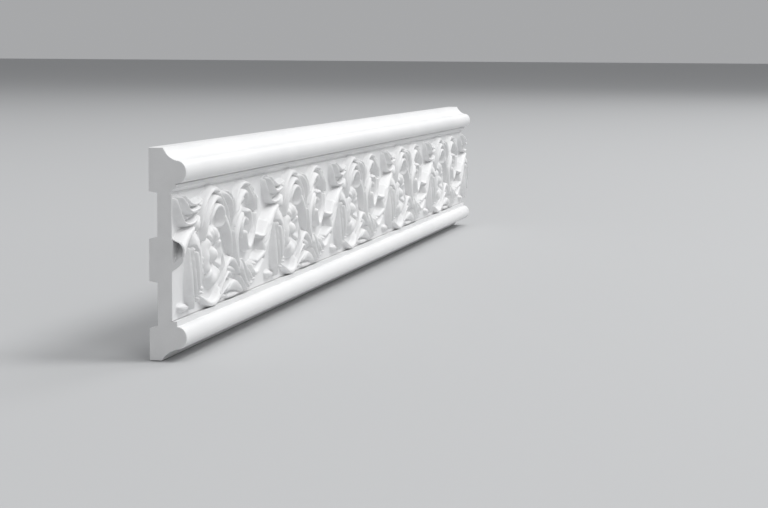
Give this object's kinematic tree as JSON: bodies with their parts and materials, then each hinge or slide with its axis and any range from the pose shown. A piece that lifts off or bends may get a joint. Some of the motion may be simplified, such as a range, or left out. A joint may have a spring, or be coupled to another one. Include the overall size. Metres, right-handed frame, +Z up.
{
  "type": "plaster frieze section",
  "caption": "Straight length of wall frieze moulding: rolls along both edges and, between them, running scroll relief of rosettes, leaves and bell flowers.",
  "frame": {"origin": "middle of the length, on the back face of the middle rib, 64 mm above the bottom edge", "axes": "+X along the moulding from the end that shows its cut in the picture, +Y out of the back into the wall, +Z up"},
  "size_m": [1.03, 0.0248, 0.135],
  "materials": {
    "plaster": "matt white cast plaster with a fine grain"
  },
  "bodies": {
    "root": {"frieze_section": "plaster"}
  },
  "joints": []
}
